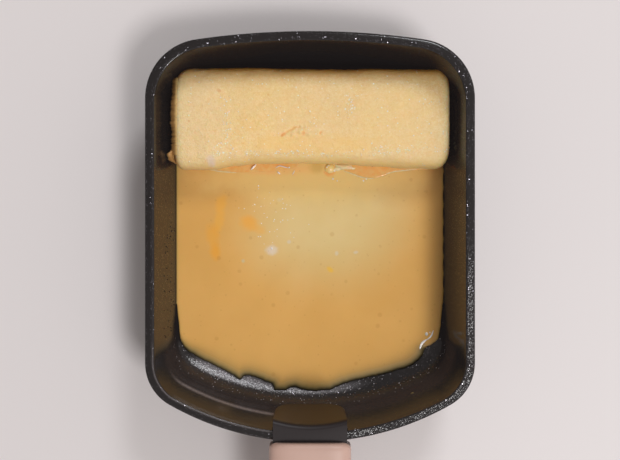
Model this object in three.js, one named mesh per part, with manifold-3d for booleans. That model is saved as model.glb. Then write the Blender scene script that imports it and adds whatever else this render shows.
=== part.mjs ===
// A rolled omelette in the pan it is cooked in: a deep, nearly square cast pan with a clip-on handle,
// one roll of egg lying against the far wall, and the next layer of egg spread over the floor.
// Millimetres. +Z is up, the pan's base rests on z = 0 with its middle at the origin, the handle
// points along -Y, and the roll lies along X at the far (+Y) side.

import * as THREE from "three";
import { mergeVertices } from "three/addons/utils/BufferGeometryUtils.js";
import Module from "manifold-3d";

const wasm = await Module();
wasm.setup();

const GAP = 0.3; // clearance kept between pieces that touch
const DEGREE = Math.PI / 180;

// ---- Driving dimensions ----

const PAN = {
  rimHalfWidth: 80.6, // outer, across X
  rimReach: 100.4, // outer, from the middle to the far edge and to the handle's edge
  rimHeight: 50.5,
  rimWidth: 4.6,
  rimEdge: 0.7, // rounding of the rim's two edges
  farRadius: 390, // outer, of the far side's shallow bow
  handleRadius: 139, // outer, of the handle side's deeper bow
  farCorner: 29,
  handleCorner: 23.4,
  floorThickness: 4.5,
  draft: 7.8 * DEGREE, // of the lining along the sides and the far wall, which open upwards
  handleDraft: 11.3 * DEGREE, // of the lining on the handle's side
  outerDraft: 7 * DEGREE,
};

// Fillets where the walls meet the floor: tight along the sides and the far wall, wide towards the
// handle.
const PLAIN_FILLET = 3;
const HANDLE_FILLET = 13.3;
const FLOOR_CORNER = { far: 10, handle: 14 };
const OUTER_FILLET = 10;

const SHEET = {
  thickness: 2,
  halfWidth: 72, // of the pour, before the walls hold it in
  farReach: 95,
  handleReach: 81,
  handleRadius: 105,
  corner: 16,
  cornerSteps: 8,
  edgeSteps: 48,
};

// Chips torn out of the layer's free edge: where along X, how wide and how deep.
const CHIPS = [
  { x: -29, width: 15, depth: 3.4 },
  { x: -7, width: 9, depth: 1.6 },
  { x: 59, width: 11, depth: 4.4 },
];

const ROLL = {
  length: 139,
  depth: 51, // across Y
  height: 25,
  midX: 0.4,
  midY: 60,
  squareness: 4, // exponent of the superellipse that is its cross-section
  waist: 3, // how far the front face draws in at mid length
  planCorner: 7, // rounding of its four corners, seen from above
  cornerTurn: 80 * DEGREE, // how far that rounding turns before it meets the end's face
  endEdge: 2.2, // rounding of the edge between the skin and the end's face
  endBulge: 1.6,
  layers: 3.6, // turns of the spiral that shows at each end
  layerGroove: 1.5,
};

const CLAMP = {
  width: 36,
  plate: 3.5, // thickness of the jaw
  rimGap: 0.5, // between the tongue and the wall's lining, at the rim
  tongueDrop: 29, // how far the jaw reaches down inside the pan
  tongueLean: 12 * DEGREE,
  tongueCorner: 10,
  tongueArch: 1.5,
  bendRadius: 3, // of the jaw's outer bend over the rim
  backReach: 109, // where the jaw and block end inside the grip, from the middle of the pan
  blockHeight: 14,
  blockDrop: 1, // from the rim down to the block's top
};

const GRIP = {
  noseReach: 99, // where the top of the grip starts, measured from the middle of the pan
  length: 158,
  noseWidth: 40,
  waistWidth: 31,
  tailWidth: 35,
  noseHeight: 25,
  waistHeight: 17,
  tailHeight: 19,
  noseEnd: 0.08, // shares of the length: where the nose starts to narrow,
  waistAt: 0.5, // where the grip is slimmest
  tailStart: 0.95, // and where it is fully wide again
  topHeight: 60,
  rise: 7, // how much higher the tail's top is than the nose's
  riseCurve: 1.5,
  squareness: 4.5,
  roundNose: 2.5,
  roundTail: 13,
  cheekGap: 1.4, // between the grip's cheeks and the rim's outer edge
};

const FLOOR = PAN.floorThickness;
const CAVITY_DEPTH = PAN.rimHeight - FLOOR;

// ---- Solids ----

// Joins rings of equal length into one closed body. Each ring runs anticlockwise as seen from the
// side that the sequence starts out towards, and both ends are closed with a fan.
function loft(rings) {
  const count = rings[0].length;
  const points = rings.flat();
  const middleOf = (ring) =>
    ring.reduce((sum, p) => sum.add(p), new THREE.Vector3()).divideScalar(count);
  const first = points.push(middleOf(rings[0])) - 1;
  const last = points.push(middleOf(rings.at(-1))) - 1;
  const faces = [];
  for (let r = 0; r + 1 < rings.length; r++) {
    for (let i = 0; i < count; i++) {
      const a = r * count + i;
      const b = r * count + ((i + 1) % count);
      faces.push(a, b, b + count, a, b + count, a + count);
    }
  }
  const top = (rings.length - 1) * count;
  for (let i = 0; i < count; i++) {
    const next = (i + 1) % count;
    faces.push(first, next, i);
    faces.push(last, top + i, top + next);
  }
  const geometry = new THREE.BufferGeometry().setFromPoints(points);
  geometry.setIndex(faces);
  return geometry;
}

// A closed mesh as a solid that can be joined and cut.
function solid(geometry) {
  const bare = geometry.clone();
  bare.deleteAttribute("normal");
  bare.deleteAttribute("uv");
  const merged = mergeVertices(bare, 1e-4);
  return new wasm.Manifold(
    new wasm.Mesh({
      numProp: 3,
      vertProperties: merged.attributes.position.array,
      triVerts: new Uint32Array(merged.index.array),
    }),
  );
}

function geometryOf(made) {
  const mesh = made.getMesh();
  const geometry = new THREE.BufferGeometry();
  geometry.setAttribute("position", new THREE.BufferAttribute(mesh.vertProperties, 3));
  geometry.setIndex(new THREE.BufferAttribute(mesh.triVerts, 1));
  return geometry;
}

// A box between two corners, as a solid.
function block(low, high) {
  const size = new THREE.Vector3().subVectors(high, low);
  const box = new THREE.BoxGeometry(size.x, size.y, size.z);
  box.translate(low.x + size.x / 2, low.y + size.y / 2, low.z + size.z / 2);
  return solid(box);
}

function arc(middleX, middleY, radius, from, to, steps) {
  return Array.from({ length: steps + 1 }, (_, i) => {
    const angle = from + ((to - from) * i) / steps;
    return new THREE.Vector2(
      middleX + radius * Math.cos(angle),
      middleY + radius * Math.sin(angle),
    );
  });
}

// One point of a superellipse with half axes a and b.
function superellipse(angle, a, b, squareness) {
  const bend = (value) => Math.sign(value) * Math.abs(value) ** (2 / squareness);
  return [a * bend(Math.cos(angle)), b * bend(Math.sin(angle))];
}

// Half of an outline's one end: a corner that runs tangent into the bow across that end.
function endArcs(halfWidth, reach, radius, corner) {
  const rise = Math.sqrt((radius - corner) ** 2 - (halfWidth - corner) ** 2);
  return {
    bowY: reach - radius,
    cornerX: halfWidth - corner,
    cornerY: reach - radius + rise,
    turn: Math.atan2(rise, halfWidth - corner),
  };
}

// The pan's plan shape, anticlockwise from its right side: straight sides, four round corners, a
// shallow bow across the far side and a deeper one across the handle's side.
function outline(plan, cornerSteps = 6, bowSteps = 10) {
  const { halfWidth, far, handle, farRadius, handleRadius, farCorner, handleCorner } = plan;
  const half = (reach, radius, corner) => {
    const end = endArcs(halfWidth, reach, radius, corner);
    return [
      ...arc(end.cornerX, end.cornerY, corner, 0, end.turn, cornerSteps),
      ...arc(0, end.bowY, radius, end.turn, Math.PI - end.turn, bowSteps).slice(1, -1),
      ...arc(-end.cornerX, end.cornerY, corner, Math.PI - end.turn, Math.PI, cornerSteps),
    ];
  };
  const farHalf = half(far, farRadius, farCorner);
  const handleHalf = half(handle, handleRadius, handleCorner).map((p) => p.multiplyScalar(-1));
  return [...farHalf, ...handleHalf];
}

const ringAt = (points, z) => points.map((p) => new THREE.Vector3(p.x, p.y, z));

// ---- Pan ----

// How far a wall's lining has run outwards from the flat floor's edge at a height above the floor.
function footRun(height, fillet, draft) {
  const filletTop = fillet * (1 - Math.sin(draft));
  const bend = Math.min(height, filletTop);
  return Math.sqrt(2 * fillet * bend - bend ** 2) + (height - bend) * Math.tan(draft);
}

function footInset(height, fillet, draft) {
  return footRun(CAVITY_DEPTH, fillet, draft) - footRun(height, fillet, draft);
}

// The lining's plan shape at a height above the floor, drawn in by a further clearance.
function liningPlan(height, clearance = 0) {
  const side = footInset(height, PLAIN_FILLET, PAN.draft);
  const down = side / footInset(0, PLAIN_FILLET, PAN.draft); // 0 at the rim, 1 at the floor
  const front = footInset(height, HANDLE_FILLET, PAN.handleDraft);
  const cornerAt = (rim, floor) => rim - PAN.rimWidth + (floor - rim + PAN.rimWidth) * down;
  return {
    halfWidth: PAN.rimHalfWidth - PAN.rimWidth - side - clearance,
    far: PAN.rimReach - PAN.rimWidth - side - clearance,
    handle: PAN.rimReach - PAN.rimWidth - front - clearance,
    farRadius: PAN.farRadius - PAN.rimWidth,
    handleRadius: PAN.handleRadius - PAN.rimWidth,
    farCorner: cornerAt(PAN.farCorner, FLOOR_CORNER.far),
    handleCorner: cornerAt(PAN.handleCorner, FLOOR_CORNER.handle),
  };
}

// The outside's plan shape, drawn in from the rim's outer edge.
function outerPlan(inset) {
  return {
    halfWidth: PAN.rimHalfWidth - inset,
    far: PAN.rimReach - inset,
    handle: PAN.rimReach - inset,
    farRadius: PAN.farRadius,
    handleRadius: PAN.handleRadius,
    farCorner: PAN.farCorner - inset / 2,
    handleCorner: PAN.handleCorner - inset / 2,
  };
}

const LINING_HEIGHTS = [0, 0.15, 0.5, 1.2, 2.6, 4, 6, 8.3, 10.7, CAVITY_DEPTH - PAN.rimEdge];

function makePan() {
  const rings = [];
  const filletSteps = 5;
  const wallRun = (PAN.rimHeight - OUTER_FILLET) * Math.tan(PAN.outerDraft);
  for (let i = 0; i <= filletSteps; i++) {
    const angle = (i / filletSteps) * (Math.PI / 2 - PAN.outerDraft);
    const inset = wallRun + OUTER_FILLET * (1 - Math.sin(angle));
    rings.push(ringAt(outline(outerPlan(inset)), OUTER_FILLET * (1 - Math.cos(angle))));
  }
  rings.push(ringAt(outline(outerPlan(0)), PAN.rimHeight - PAN.rimEdge));
  rings.push(ringAt(outline(outerPlan(PAN.rimEdge)), PAN.rimHeight));
  rings.push(ringAt(outline(outerPlan(PAN.rimWidth - PAN.rimEdge)), PAN.rimHeight));
  for (const height of [...LINING_HEIGHTS].reverse()) {
    rings.push(ringAt(outline(liningPlan(height)), FLOOR + height));
  }
  return loft(rings);
}

// The space inside the pan, smaller by the clearance, for fitting what lies in it.
function makeCavity(clearance) {
  return solid(
    loft(
      LINING_HEIGHTS.map((height) =>
        ringAt(outline(liningPlan(height, clearance)), FLOOR + height + clearance),
      ),
    ),
  );
}

// ---- Egg ----

// How far a chip draws the free edge in at x.
function chipDepth(x) {
  return CHIPS.reduce((sum, chip) => {
    const across = (2 * (x - chip.x)) / chip.width;
    return sum + (Math.abs(across) < 1 ? chip.depth * (1 - across ** 4) : 0);
  }, 0);
}

// The layer of egg: poured over the floor and under the roll, its free edge towards the handle.
function makeSheet() {
  const plan = outline(
    {
      halfWidth: SHEET.halfWidth,
      far: SHEET.farReach,
      handle: SHEET.handleReach,
      farRadius: PAN.farRadius,
      handleRadius: SHEET.handleRadius,
      farCorner: PAN.farCorner,
      handleCorner: SHEET.corner,
    },
    SHEET.cornerSteps,
    SHEET.edgeSteps,
  ).map((p) => (p.y < 0 ? new THREE.Vector2(p.x, p.y + chipDepth(p.x)) : p));
  const pour = loft([ringAt(plan, 0), ringAt(plan, FLOOR + SHEET.thickness)]);
  return geometryOf(solid(pour).intersect(makeCavity(GAP)));
}

// One cross-section of the roll at a place along X: narrowed and lowered by two insets, then scaled
// towards its middle by share, with each point moved along X by relief.
function rollRing(x, insets, share, relief, steps = 40) {
  const middleZ = FLOOR + SHEET.thickness + GAP + ROLL.height / 2;
  const along = (x - ROLL.midX) / (ROLL.length / 2);
  const waist = ROLL.waist * (1 - along ** 2) ** 2;
  const halfDepth = ROLL.depth / 2 - insets.depth;
  const halfHeight = ROLL.height / 2 - insets.height;
  return Array.from({ length: steps }, (_, i) => {
    const angle = (2 * Math.PI * i) / steps;
    const [y, z] = superellipse(angle, halfDepth, halfHeight, ROLL.squareness);
    const frontShift = y < 0 ? waist * share : 0;
    return new THREE.Vector3(
      x + relief(angle, share),
      ROLL.midY + y * share + frontShift,
      middleZ + z * share,
    );
  });
}

// The end's form: a slight bulge with the groove between two layers winding in from the skin.
function spiralRelief(angle, share) {
  const phase = share * ROLL.layers - angle / (2 * Math.PI);
  const groove = Math.abs(Math.cos(Math.PI * phase)) ** 3;
  const fade = Math.min(1, 4 * (1 - share));
  return ROLL.endBulge * (1 - share ** 2) - ROLL.layerGroove * groove * fade;
}

// How far a rounding of a radius has drawn in at a distance from where it is drawn in fully.
function roundedInset(radius, distance) {
  const left = Math.max(0, radius - distance);
  return radius - Math.sqrt(radius ** 2 - left ** 2);
}

// One end of the roll, from the middle of its face out to where the straight body starts.
function rollEnd(sign) {
  const faceSteps = 13;
  const roundSteps = 6;
  const { planCorner, cornerTurn, endEdge } = ROLL;
  const faceX = ROLL.length / 2 - ROLL.endBulge;
  const bodyEnd = faceX - planCorner * Math.sin(cornerTurn);
  const roundAt = (turn) => {
    const x = bodyEnd + planCorner * Math.sin(turn);
    const insets = {
      depth: planCorner * (1 - Math.cos(turn)),
      height: roundedInset(endEdge, faceX - x),
    };
    return { x: ROLL.midX + sign * x, insets };
  };
  const face = roundAt(cornerTurn);
  const rings = [];
  for (let i = 1; i <= faceSteps; i++) {
    const relief = (angle, share) => sign * spiralRelief(angle, share);
    rings.push(rollRing(face.x, face.insets, i / faceSteps, relief));
  }
  for (let i = roundSteps - 1; i >= 0; i--) {
    const edge = roundAt((cornerTurn * i) / roundSteps);
    rings.push(rollRing(edge.x, edge.insets, 1, () => 0));
  }
  return rings;
}

// The roll, pressed into the round corners of the pan.
function makeRoll() {
  const bodySteps = 12;
  const left = rollEnd(-1);
  const right = rollEnd(1);
  const from = left.at(-1)[0].x;
  const to = right.at(-1)[0].x;
  const body = [];
  for (let i = 1; i < bodySteps; i++) {
    const x = from + ((to - from) * i) / bodySteps;
    body.push(rollRing(x, { depth: 0, height: 0 }, 1, () => 0));
  }
  const roll = solid(loft([...left, ...body, ...right.reverse()]));
  return geometryOf(roll.intersect(makeCavity(GAP)));
}

// ---- Clip-on handle ----

const BOW_STEPS = 8; // slices across X of what follows the bow

// Bends a piece drawn straight across X so that it follows the bow of the pan's handle side.
function bendToBow(geometry) {
  const position = geometry.attributes.position;
  const radius = PAN.handleRadius - PAN.rimWidth;
  for (let i = 0; i < position.count; i++) {
    position.setY(i, position.getY(i) + position.getX(i) ** 2 / (2 * radius));
  }
  return geometry;
}

// A side view drawn in (y, z), given thickness across X and centred on x = 0.
function acrossX(shape, width, steps) {
  const made = new THREE.ExtrudeGeometry(shape, { depth: width, steps, bevelEnabled: false });
  made.applyMatrix4(
    new THREE.Matrix4().makeBasis(
      new THREE.Vector3(0, 1, 0),
      new THREE.Vector3(0, 0, 1),
      new THREE.Vector3(1, 0, 0),
    ),
  );
  return made.translate(-width / 2, 0, 0);
}

// The jaw: a plate that bridges the rim and turns down inside the pan as a tongue.
function makeJaw() {
  const { plate, tongueDrop, tongueLean, bendRadius } = CLAMP;
  const under = PAN.rimHeight + GAP;
  const over = under + plate;
  const back = -(PAN.rimReach - PAN.rimWidth) + CLAMP.rimGap; // the tongue's back, at the rim
  const bend = back + plate;
  const run = Math.sin(tongueLean) * tongueDrop;
  const low = under - Math.cos(tongueLean) * tongueDrop;
  const side = new THREE.Shape();
  side.moveTo(-CLAMP.backReach, under);
  side.lineTo(back, under);
  side.lineTo(back + run, low);
  side.lineTo(bend + run, low);
  side.lineTo(bend, over - bendRadius);
  side.quadraticCurveTo(bend, over, bend - bendRadius, over);
  side.lineTo(-CLAMP.backReach, over);
  side.closePath();
  const jaw = solid(acrossX(side, CLAMP.width, BOW_STEPS)).intersect(makeTongueOutline(low, over));
  return bendToBow(geometryOf(jaw));
}

// What the jaw is trimmed to, seen along Y: straight sides and a rounded, slightly arched tip.
function makeTongueOutline(low, high) {
  const { tongueCorner: corner, tongueArch: arch } = CLAMP;
  const half = CLAMP.width / 2;
  const front = new THREE.Shape();
  front.moveTo(-half, high);
  front.lineTo(-half, low + corner + arch);
  front.quadraticCurveTo(-half, low + arch, -half + corner, low + arch / 2);
  front.quadraticCurveTo(0, low - arch / 2, half - corner, low + arch / 2);
  front.quadraticCurveTo(half, low + arch, half, low + corner + arch);
  front.lineTo(half, high);
  front.closePath();
  const depth = CLAMP.backReach;
  const made = new THREE.ExtrudeGeometry(front, { depth, bevelEnabled: false, curveSegments: 5 });
  made.rotateX(Math.PI / 2);
  return solid(made);
}

const GRIP_SHOULDER = PAN.rimReach + GRIP.cheekGap; // where the grip's cheeks start
const BLOCK_TOP = PAN.rimHeight - CLAMP.blockDrop;
const POCKET = {
  halfWidth: CLAMP.width / 2 + GAP,
  back: CLAMP.backReach + GAP,
  bottom: BLOCK_TOP - CLAMP.blockHeight - GAP,
  top: PAN.rimHeight + 2 * GAP + CLAMP.plate,
};

// The block outside the wall that the jaw clamps against.
function makeBlock() {
  const side = new THREE.Shape();
  const front = -PAN.rimReach - GAP;
  const bottom = BLOCK_TOP - CLAMP.blockHeight;
  side.moveTo(-CLAMP.backReach, bottom);
  side.lineTo(front + CLAMP.blockHeight * Math.tan(PAN.outerDraft), bottom);
  side.lineTo(front, BLOCK_TOP);
  side.lineTo(-CLAMP.backReach, BLOCK_TOP);
  side.closePath();
  return bendToBow(acrossX(side, CLAMP.width, BOW_STEPS));
}

// Sizes of the grip at a share of its length: 0 at the nose, 1 at the tail.
function gripAt(share) {
  const toWaist = THREE.MathUtils.smoothstep(share, GRIP.noseEnd, GRIP.waistAt);
  const toTail = THREE.MathUtils.smoothstep(share, GRIP.waistAt, GRIP.tailStart);
  const along = (nose, waist, tail) =>
    nose + (waist - nose) * toWaist + (tail - waist) * toTail;
  const height = along(GRIP.noseHeight, GRIP.waistHeight, GRIP.tailHeight);
  return {
    width: along(GRIP.noseWidth, GRIP.waistWidth, GRIP.tailWidth),
    height,
    middle: GRIP.topHeight + GRIP.rise * share ** GRIP.riseCurve - height / 2,
  };
}

// One cross-section of the grip, drawn in all round for its rounded ends.
function gripRing(distance, drawnIn, steps = 32) {
  const { width, height, middle } = gripAt(distance / GRIP.length);
  return Array.from({ length: steps }, (_, i) => {
    const angle = (2 * Math.PI * i) / steps;
    const a = width / 2 - drawnIn;
    const b = height / 2 - drawnIn * Math.min(1, height / width);
    const [x, z] = superellipse(angle, a, b, GRIP.squareness);
    return new THREE.Vector3(x, -GRIP.noseReach - distance, middle + z);
  });
}

function makeGrip() {
  const rings = [];
  const bodySteps = 12;
  const endSteps = 4;
  for (let i = 0; i < endSteps; i++) {
    const turn = (i / endSteps) * (Math.PI / 2);
    const out = GRIP.roundNose * (1 - Math.cos(turn));
    rings.push(gripRing(out, GRIP.roundNose * (1 - Math.sin(turn))));
  }
  for (let i = 0; i <= bodySteps; i++) {
    const share = i / bodySteps;
    const length = GRIP.length - GRIP.roundNose - GRIP.roundTail;
    rings.push(gripRing(GRIP.roundNose + length * share, 0));
  }
  for (let i = 1; i <= endSteps; i++) {
    const turn = (i / endSteps) * (Math.PI / 2);
    const out = GRIP.roundTail * Math.sin(turn);
    const drawnIn = 0.9 * GRIP.roundTail * (1 - Math.cos(turn));
    rings.push(gripRing(GRIP.length - GRIP.roundTail + out, drawnIn));
  }
  const wide = GRIP.noseWidth;
  const overRim = block(
    new THREE.Vector3(-wide, -GRIP_SHOULDER, 0),
    new THREE.Vector3(wide, 0, POCKET.top),
  );
  const pocket = block(
    new THREE.Vector3(-POCKET.halfWidth, -POCKET.back, POCKET.bottom),
    new THREE.Vector3(POCKET.halfWidth, 0, POCKET.top),
  );
  return geometryOf(solid(loft(rings)).subtract(overRim).subtract(pocket));
}

// ---- The object ----

const MATERIALS = {
  coating: { color: 0x2b2826, roughness: 0.45, metalness: 0.2 },
  egg: { color: 0xe0c38f, roughness: 0.55, metalness: 0 },
  rawEgg: { color: 0xd6a25c, roughness: 0.15, metalness: 0 },
  clampPlastic: { color: 0x3a3433, roughness: 0.4, metalness: 0 },
  gripPlastic: { color: 0xd9b3a5, roughness: 0.5, metalness: 0 },
};

const object = new THREE.Group();

function add(name, geometry, look) {
  const mesh = new THREE.Mesh(geometry, new THREE.MeshStandardMaterial(MATERIALS[look]));
  mesh.name = name;
  object.add(mesh);
}

add("pan", makePan(), "coating");
add("egg_sheet", makeSheet(), "rawEgg");
add("egg_roll", makeRoll(), "egg");
add("clamp_jaw", makeJaw(), "clampPlastic");
add("clamp_block", makeBlock(), "clampPlastic");
add("handle_grip", makeGrip(), "gripPlastic");

export default object;
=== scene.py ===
"""A rolled omelette in the pan it is cooked in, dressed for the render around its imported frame.

Lengths are millimetres in the shape code and metres in Blender. +Z is up, +Y runs from the handle
to the far wall, where the roll lies along X.
"""

from math import atan2, cos, exp, pi, radians, sin, sqrt, tan

import bpy
import numpy as np
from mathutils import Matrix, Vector, noise
from mathutils.bvhtree import BVHTree
from mathutils.kdtree import KDTree


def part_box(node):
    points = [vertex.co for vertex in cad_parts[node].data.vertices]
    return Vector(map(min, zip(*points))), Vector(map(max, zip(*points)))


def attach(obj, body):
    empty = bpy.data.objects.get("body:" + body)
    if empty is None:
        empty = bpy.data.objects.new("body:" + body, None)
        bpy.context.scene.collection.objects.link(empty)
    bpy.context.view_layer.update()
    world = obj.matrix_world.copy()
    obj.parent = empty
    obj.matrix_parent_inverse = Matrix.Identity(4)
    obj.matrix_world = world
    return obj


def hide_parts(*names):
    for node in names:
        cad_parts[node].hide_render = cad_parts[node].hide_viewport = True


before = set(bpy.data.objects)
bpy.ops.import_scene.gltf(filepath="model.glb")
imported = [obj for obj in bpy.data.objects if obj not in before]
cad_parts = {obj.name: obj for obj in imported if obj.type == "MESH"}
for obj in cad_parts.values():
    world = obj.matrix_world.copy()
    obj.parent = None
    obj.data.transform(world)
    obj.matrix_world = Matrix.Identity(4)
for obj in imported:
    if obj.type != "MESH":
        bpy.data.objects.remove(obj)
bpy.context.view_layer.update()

MM = 0.001
BODY = "root"
rng = np.random.default_rng(11)


# ---- Where things are ----


def node_box(name):
    return np.array([list(corner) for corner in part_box(name)]) / MM


PAN_HIGH = node_box("pan")[1]
SHEET_LOW, SHEET_HIGH = node_box("egg_sheet")
ROLL_LOW, ROLL_HIGH = node_box("egg_roll")
JAW_LOW, JAW_HIGH = node_box("clamp_jaw")
BLOCK_LOW, BLOCK_HIGH = node_box("clamp_block")
GRIP_LOW, GRIP_HIGH = node_box("handle_grip")

GAP = 0.3  # what the CAD solids keep between each other
FLOOR = SHEET_LOW[2] - GAP
LEVEL = SHEET_HIGH[2] + GAP  # of the liquid egg
RIM = PAN_HIGH[2]
HALF_WIDTH = PAN_HIGH[0]
REACH = PAN_HIGH[1]
DEPTH = RIM - FLOOR

RIM_WIDTH = 4.6
RIM_SLOPE = radians(12)  # the rim's outer part falls away at this angle,
RIM_FLAT = 1.4  # from this far out of its inner edge,
RIM_ROUND = 0.5  # to a rounded outer edge
RIM_INSIDE = (0.7, 0.6)  # how far out and down the inner edge is rounded
DRAFT = radians(7.8)  # of the lining, along the sides and the far wall
HANDLE_DRAFT = radians(11.3)
OUTER_DRAFT = radians(7)
FAR_RADIUS = 390
HANDLE_RADIUS = 139
FAR_CORNER = 29
HANDLE_CORNER = 23.4
FLOOR_FAR_CORNER = 10
FLOOR_HANDLE_CORNER = 14
PLAIN_FILLET = 3
HANDLE_FILLET = 13.3
OUTER_FILLET = 10


# ---- Small numeric helpers ----


def smooth(value, low, high):
    """0 below low, 1 above high, and an even ease between them."""
    share = np.clip((value - low) / (high - low), 0, 1)
    return share * share * (3 - 2 * share)


def bump(value, middle, half):
    """1 at middle, easing to 0 at half a width to each side."""
    return 1 - smooth(np.abs(value - middle), 0, half)


def along(x, knots):
    """A value at x, eased from one (x, value) knot to the next."""
    places, values = np.array(knots, float).T
    after = np.clip(np.searchsorted(places, x), 1, len(knots) - 1)
    share = smooth((x - places[after - 1]) / (places[after] - places[after - 1]), 0, 1)
    return values[after - 1] + (values[after] - values[after - 1]) * share


def rough(points, size, octaves=3, seed=0):
    """Even noise of about -1 to 1 at points, with features of a size in mm."""
    offset = Vector((seed * 7.3, seed * 3.1, seed * 5.7))
    return np.array([noise.fractal(Vector(p) / size + offset, 0.6, 2.1, octaves) for p in points])


def curve(points, steps):
    """A smooth open curve through a few points, with steps to each stretch."""
    p = np.array(points, float)
    p = np.concatenate([2 * p[:1] - p[1:2], p, 2 * p[-1:] - p[-2:-1]])
    t = (np.arange(steps) / steps)[:, None]
    made = []
    for a, b, c, d in zip(p[:-3], p[1:-2], p[2:-1], p[3:]):
        cubic = (-a + 3 * b - 3 * c + d) * t**3 + (2 * a - 5 * b + 4 * c - d) * t**2
        made.append(0.5 * (cubic + (c - a) * t + 2 * b))
    return np.concatenate(made + [p[-2:-1]])


def resample(line, step=None, count=None):
    """Even steps around a closed line: a length apart, or a number of them."""
    closed = np.concatenate([line, line[:1]])
    reach = np.concatenate([[0], np.cumsum(np.linalg.norm(np.diff(closed, axis=0), axis=1))])
    count = count or int(reach[-1] / step)
    places = np.arange(count) * reach[-1] / count
    return np.stack([np.interp(places, reach, column) for column in closed.T], 1)


def circle(count):
    """Cosines and sines of a full turn in even steps."""
    angles = np.linspace(0, 2 * pi, count, endpoint=False)
    return np.cos(angles), np.sin(angles)


def power(value, exponent):
    """Turns a circle's cosine or sine into a superellipse's."""
    return np.sign(value) * np.abs(value) ** (2 / exponent)


def unit(steps):
    """Steps cut to a length of 1."""
    return steps / np.linalg.norm(steps, axis=1)[:, None]


# ---- Meshes ----


def add_object(name, data):
    made = bpy.data.objects.new(name, data)
    bpy.context.scene.collection.objects.link(made)
    return made


def add_mesh(name, points, faces, material=None):
    """An object from points in mm and faces."""
    mesh = bpy.data.meshes.new(name)
    mesh.from_pydata((np.array(points) * MM).tolist(), [], [list(f) for f in faces])
    if material:
        mesh.materials.append(material)
    return add_object(name, mesh)


def make_piece(name, body, material, slot, *nodes):
    """A piece from (points, faces), riding on the body in place of the CAD nodes named."""
    made = add_mesh(name, *body, material)
    made.data.validate()
    made.data.shade_smooth()
    if nodes:
        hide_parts(*nodes)
    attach(made, BODY)
    return made


def store(piece, **layers):
    """Keeps numbers per vertex for the piece's material."""
    for name, values in layers.items():
        layer = piece.data.attributes.new(name, "FLOAT", "POINT")
        layer.data.foreach_set("value", np.asarray(values, np.float32))


def ring_faces(rings, count, closed=True):
    """Quads between rings of equal length."""
    pairs = [(i, (i + 1) % count) for i in range(count if closed else count - 1)]
    starts = range(0, (rings - 1) * count, count)
    return [(s + a, s + b, s + b + count, s + a + count) for s in starts for a, b in pairs]


def loft(rings):
    """Points and faces of a closed body through rings."""
    count = len(rings[0])
    points = np.concatenate(rings + [rings[0].mean(0)[None], rings[-1].mean(0)[None]])
    faces = ring_faces(len(rings), count)
    first, last = len(points) - 2, len(points) - 1
    top = (len(rings) - 1) * count
    for i in range(count):
        after = (i + 1) % count
        faces.append((first, after, i))
        faces.append((last, top + i, top + after))
    return points, faces


def between(first, second):
    """Points and faces of a closed body between two grids of points."""
    rows, columns = first.shape[:2]
    half = rows * columns
    quads = ring_faces(rows, columns, closed=False)
    faces = [f[::-1] for f in quads] + [tuple(i + half for i in f) for f in quads]
    number = np.arange(half).reshape(rows, columns)
    rim = number[0], number[1:, -1], number[-1, -2::-1], number[-2:0:-1, 0]
    line = np.concatenate(rim).tolist()
    for a, b in zip(line, line[1:] + line[:1]):
        faces.append((a, b, b + half, a + half))
    return np.concatenate([first.reshape(-1, 3), second.reshape(-1, 3)]), faces


def plate(grid, thickness):
    """Points and faces of a thin closed body under a grid of points."""
    grid = np.array(grid)
    normal = np.cross(np.gradient(grid, axis=0), np.gradient(grid, axis=1))
    normal /= np.linalg.norm(normal, axis=2)[:, :, None] + 1e-9
    return between(grid, grid - normal * thickness)


def joined(name, material, slot, *parts):
    """One piece from many (points, faces)."""
    faces, start = [], 0
    for points, part_faces in parts:
        faces += [tuple(i + start for i in f) for f in part_faces]
        start += len(points)
    return make_piece(name, (np.concatenate([points for points, _ in parts]), faces), material, slot)


def arc(middle, radius, start, end, steps):
    angles = np.linspace(start, end, steps + 1)
    return middle + radius * np.column_stack([np.cos(angles), np.sin(angles)])


def outline(half_width, reaches, bows, corners, steps):
    """The pan's plan shape, anticlockwise. Values are for the far side, then the handle's.

    Steps are (in a corner, along a bow, along a side).
    """

    def half(reach, bow, corner):
        rise = sqrt((bow - corner) ** 2 - (half_width - corner) ** 2)
        turn = atan2(rise, half_width - corner)
        y = reach - bow + rise
        right = arc((half_width - corner, y), corner, 0, turn, steps[0])
        middle = arc((0, reach - bow), bow, turn, pi - turn, steps[1])
        return np.concatenate([right, middle[1:-1], right[::-1] * (-1, 1)])

    def side(start, end):
        return start + (end - start) * (np.arange(1, steps[2]) / steps[2])[:, None]

    far, handle = (half(*values) for values in zip(reaches, bows, corners))
    handle = -handle
    return np.concatenate([far, side(far[-1], handle[0]), handle, side(handle[-1], far[0])])


def at_height(plan, z):
    return np.column_stack([plan, np.full(len(plan), z)])


def foot_run(height, fillet, draft):
    """How far a wall's lining has run outwards at a height above the floor."""
    bend = min(height, fillet * (1 - sin(draft)))
    return sqrt(max(0, 2 * fillet * bend - bend * bend)) + (height - bend) * tan(draft)


def foot_inset(height, fillet, draft):
    return foot_run(DEPTH, fillet, draft) - foot_run(height, fillet, draft)


def lining(height, steps):
    """The lining's plan shape at a height above the floor."""
    side = foot_inset(height, PLAIN_FILLET, DRAFT)
    down = side / foot_inset(0, PLAIN_FILLET, DRAFT)

    def corner(rim, floor):
        return rim - RIM_WIDTH + (floor - rim + RIM_WIDTH) * down

    reach = REACH - RIM_WIDTH
    to_handle = reach - foot_inset(height, HANDLE_FILLET, HANDLE_DRAFT)
    corners = corner(FAR_CORNER, FLOOR_FAR_CORNER), corner(HANDLE_CORNER, FLOOR_HANDLE_CORNER)
    bows = FAR_RADIUS - RIM_WIDTH, HANDLE_RADIUS - RIM_WIDTH
    return outline(HALF_WIDTH - RIM_WIDTH - side, (reach - side, to_handle), bows, corners, steps)


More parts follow.
